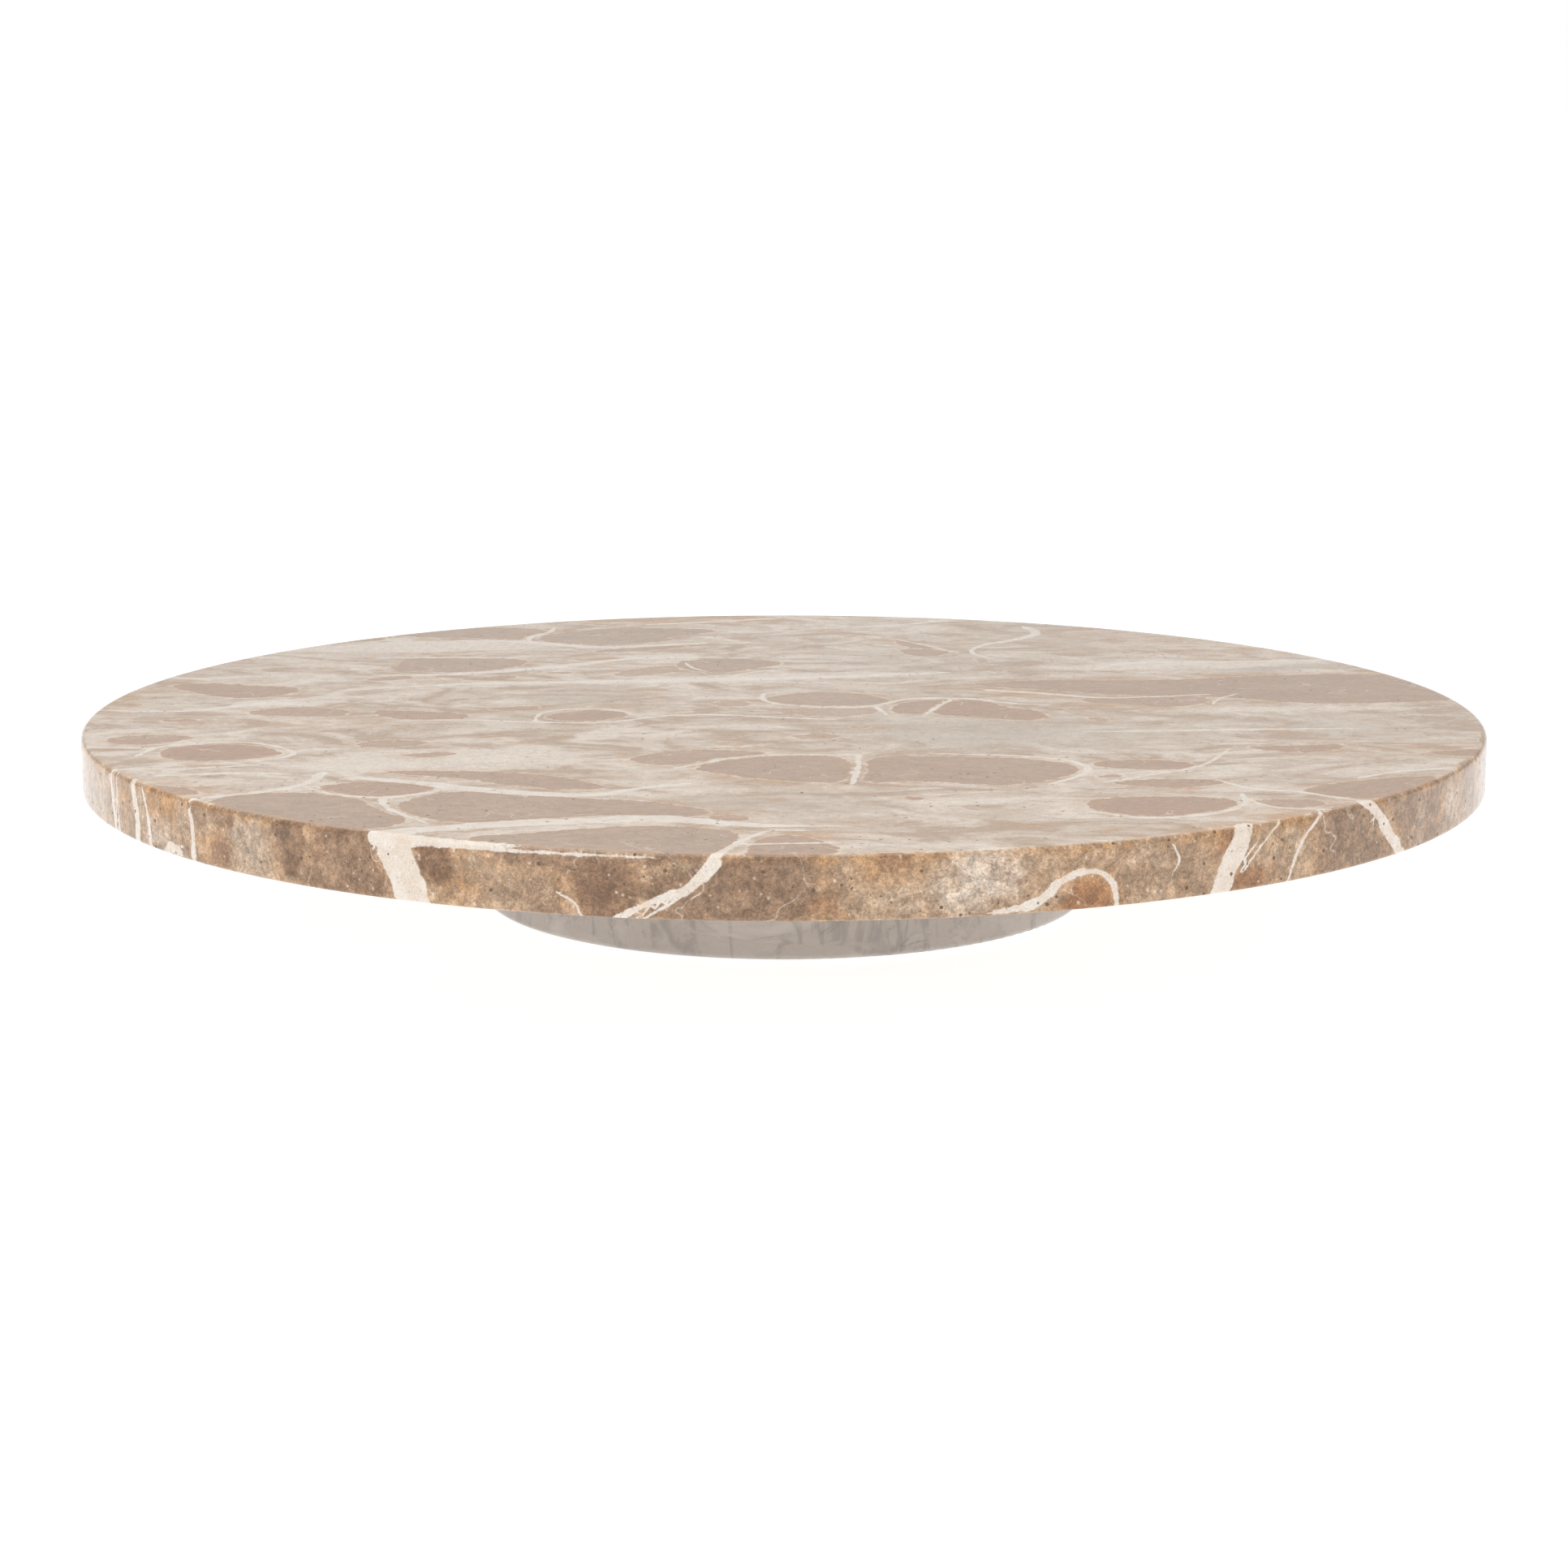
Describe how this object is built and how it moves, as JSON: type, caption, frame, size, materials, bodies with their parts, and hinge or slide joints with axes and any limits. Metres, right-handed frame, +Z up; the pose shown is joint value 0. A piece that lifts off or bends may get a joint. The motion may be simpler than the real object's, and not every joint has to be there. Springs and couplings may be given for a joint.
{
  "type": "lazy susan turntable",
  "caption": "Round marble serving plate that turns freely on a small round marble base, joined to it by a hidden ring bearing.",
  "frame": {"origin": "centre of the underside, on the surface that the rubber feet stand on", "axes": "+Z up along the axis that the plate turns about, +X through the access hole in the base, +Y completes the right hand"},
  "size_m": [0.3999, 0.4, 0.0545],
  "materials": {
    "brown_marble": "polished, brown and taupe breccia with cream veins",
    "white_marble": "polished, white with soft grey veins",
    "ring_aluminium": "turned",
    "plug_aluminium": "turned",
    "ball_steel": "polished",
    "cage_plastic": "moulded, natural white",
    "cover_plastic": "moulded, off-white",
    "screw_steel": "stainless, satin",
    "insert_brass": "turned and knurled",
    "foot_rubber": "moulded, matt black"
  },
  "bodies": {
    "base": {"base": "white_marble", "bearing_outer_ring": "ring_aluminium", "ball_fill_plug": "plug_aluminium", "access_hole_cover": "cover_plastic", "base_screw_1": "screw_steel", "base_screw_2": "screw_steel", "base_screw_3": "screw_steel", "base_screw_4": "screw_steel", "base_insert_1": "insert_brass", "base_insert_2": "insert_brass", "base_insert_3": "insert_brass", "base_insert_4": "insert_brass", "rubber_foot_1": "foot_rubber", "rubber_foot_2": "foot_rubber", "rubber_foot_3": "foot_rubber", "rubber_foot_4": "foot_rubber"},
    "turntable": {"top_plate": "brown_marble", "bearing_inner_ring": "ring_aluminium", "plate_screw_1": "screw_steel", "plate_screw_2": "screw_steel", "plate_screw_3": "screw_steel", "plate_screw_4": "screw_steel", "plate_insert_1": "insert_brass", "plate_insert_2": "insert_brass", "plate_insert_3": "insert_brass", "plate_insert_4": "insert_brass"},
    "ball_set": {"bearing_balls": "ball_steel", "ball_cage": "cage_plastic"}
  },
  "joints": [
    {"name": "turn", "type": "hinge", "parent": "base", "child": "turntable", "pos_m": [0, 0, 0.034], "axis": [0, 0, 1], "continuous": true},
    {"name": "ball_orbit", "type": "hinge", "parent": "base", "child": "ball_set", "pos_m": [0, 0, 0.034], "axis": [0, 0, 1], "continuous": true}
  ],
  "couplings": [
    {"joint": "ball_orbit", "follows": "turn", "ratio": 0.48}
  ]
}
